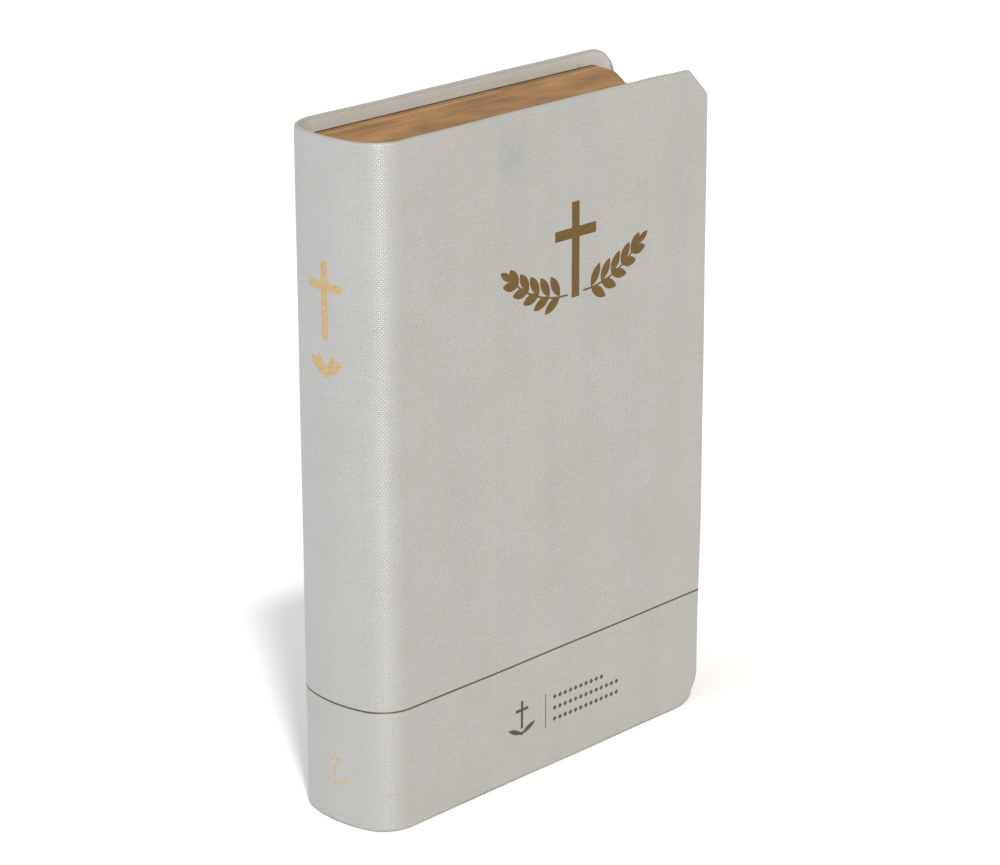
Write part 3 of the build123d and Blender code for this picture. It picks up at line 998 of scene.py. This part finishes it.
# Partly painted reflection: the spine foot's gold is painted brighter like the spine title's, and it is
# also worn through to bare cloth in more places.
rubbed_painted_bright_foil = foil_material("rubbed_gold_stamping_painted_bright", (0.52, 0.42, 0.26), (0.45, 0.42, 0.36), 0.8)
rule_foil = foil_material("gold_line", (0.105, 0.084, 0.042), (0.22, 0.20, 0.15), 0.52)
gilt = gilt_material()
paper = paper_material("bible_paper", (0.78, 0.74, 0.66), 1.6, 0.95)
endpaper = paper_material("endpaper_sheet", (0.80, 0.77, 0.70), 1.1, 0.94, dark_edged=True)
card = board_material("cover_card", (0.46, 0.42, 0.36))
kraft = board_material("kraft_lining", (0.50, 0.40, 0.27))
gauze = plain_weave_material("mull_gauze", (0.72, 0.70, 0.63), 0.9, (0.30, 0.27, 0.22))
linen = plain_weave_material("linen_thread", (0.78, 0.75, 0.68), 0.35, (0.5, 0.47, 0.4))

# ---------------------------------------------------------------- pieces
front_cloth = cover_sheet("cloth_front_and_spine", -1, -spine_arc)
front_cloth.data.materials.append(pearly)
front_cloth.data.materials.append(turned_in_painted_lighter)
hinge_blend(front_cloth)
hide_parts("front_cover_cloth", "spine_cloth")

back_cloth = cover_sheet("cloth_back", 1, 0.0)
back_cloth.data.materials.append(pearly)
back_cloth.data.materials.append(turned_in_painted_lighter)
hinge_blend(back_cloth)
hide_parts("back_cover_cloth")

for node, side, material in (
    ("front_title_foil", -1, foil),
    ("front_foot_foil", -1, rule_foil),
    ("front_rule_foil", -1, rule_foil),
    ("spine_title_foil", -1, painted_bright_foil),
    ("spine_foot_foil", -1, rubbed_painted_bright_foil),
    ("spine_rule_foil", -1, rule_foil),
    ("back_rule_foil", 1, rule_foil),
):
    stamping = foil_piece(node, node.replace("foil", "gold"), side)
    stamping.data.materials.append(material)
    if node.startswith("spine"):
        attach(stamping, "spine")
    elif "rule" in node:
        hinge_blend(stamping)
    else:
        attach(stamping, "front_cover")
    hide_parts(node)

for number in range(1, section_count + 1):
    section_piece(number)

for side_name in ("front", "back"):
    flyleaf_piece(side_name)
    pastedown_piece(side_name)

board_piece("front", -1)
board_piece("back", 1)

for node, material in (
    ("spine_inlay", card),
    ("spine_lining", kraft),
    ("spine_mull", gauze),
    ("sewing_thread", linen),
):
    frame["nodes"][node].material_slots[0].material = material

# ---------------------------------------------------------------- floor, light and camera
def pale_floor():
    mesh = bpy.data.meshes.new("floor")
    reach = 6.0
    corners = [(-reach, -reach, 0), (reach, -reach, 0), (reach, reach, 0), (-reach, reach, 0)]
    mesh.from_pydata(corners, [], [(0, 1, 2, 3)])
    floor = bpy.data.objects.new("floor", mesh)
    bpy.context.scene.collection.objects.link(floor)
    material = bpy.data.materials.new("pale_floor")
    material.use_nodes = True
    surface = material.node_tree.nodes["Principled BSDF"]
    surface.inputs["Base Color"].default_value = (0.9, 0.9, 0.9, 1)
    surface.inputs["Roughness"].default_value = 0.9
    surface.inputs["Specular IOR Level"].default_value = 0.0
    mesh.materials.append(material)


def soft_light(name, azimuth, elevation, distance, size, watts, colour, gloss_only=False):
    """An upright soft light aimed at the book's middle. Azimuth 0 is straight in front of it."""
    lamp = bpy.data.lights.new(name, "AREA")
    lamp.shape = "RECTANGLE"
    lamp.size, lamp.size_y = size
    lamp.energy = watts
    lamp.color = colour
    holder = bpy.data.objects.new(name, lamp)
    turn = radians(azimuth)
    rise = radians(elevation)
    away = Vector((sin(turn) * cos(rise), -cos(turn) * cos(rise), sin(rise)))
    middle = Vector((0, 0, cover_height / 2 * MM))
    holder.location = middle + away * distance
    holder.rotation_mode = "QUATERNION"
    holder.rotation_quaternion = away.to_track_quat("Z", "Y")
    holder.visible_diffuse = not gloss_only
    bpy.context.scene.collection.objects.link(holder)


def soft_sun(azimuth, elevation, spread, strength, colour):
    """Even light from one side, with soft-edged shadows. Azimuth 0 is straight in front."""
    lamp = bpy.data.lights.new("key", "SUN")
    lamp.angle = radians(spread)
    lamp.energy = strength
    lamp.color = colour
    holder = bpy.data.objects.new("key", lamp)
    turn = radians(azimuth)
    rise = radians(elevation)
    away = Vector((sin(turn) * cos(rise), -cos(turn) * cos(rise), sin(rise)))
    holder.rotation_mode = "QUATERNION"
    holder.rotation_quaternion = away.to_track_quat("Z", "Y")
    bpy.context.scene.collection.objects.link(holder)


pale_floor()
world = bpy.data.worlds.new("studio")
bpy.context.scene.world = world
world.use_nodes = True
world.node_tree.nodes["Background"].inputs["Color"].default_value = (0.997, 0.993, 0.985, 1)
world.node_tree.nodes["Background"].inputs["Strength"].default_value = 0.755
soft_sun(-35.5, 54, 5, 1.86, (1.0, 0.97, 0.92))
soft_light("spine_fill", -105, 20, 1.3, (0.6, 0.6), 3.5, (0.58, 0.70, 1.0))
soft_light("shoulder_strip", -34, 20, 1.3, (0.09, 0.9), 44.0, (1.0, 1.0, 1.0), gloss_only=True)
bpy.context.scene.view_settings.view_transform = "Standard"

camera_data = bpy.data.cameras.new("camera")
camera_data.lens = 118.67
camera_data.sensor_width = 36.0
camera = bpy.data.objects.new("camera", camera_data)
camera.location = (-0.56070, -0.54649, 0.36451)
camera.rotation_euler = Euler((radians(70.507), radians(0.07), radians(-45.762)))
bpy.context.scene.collection.objects.link(camera)
bpy.context.scene.camera = camera
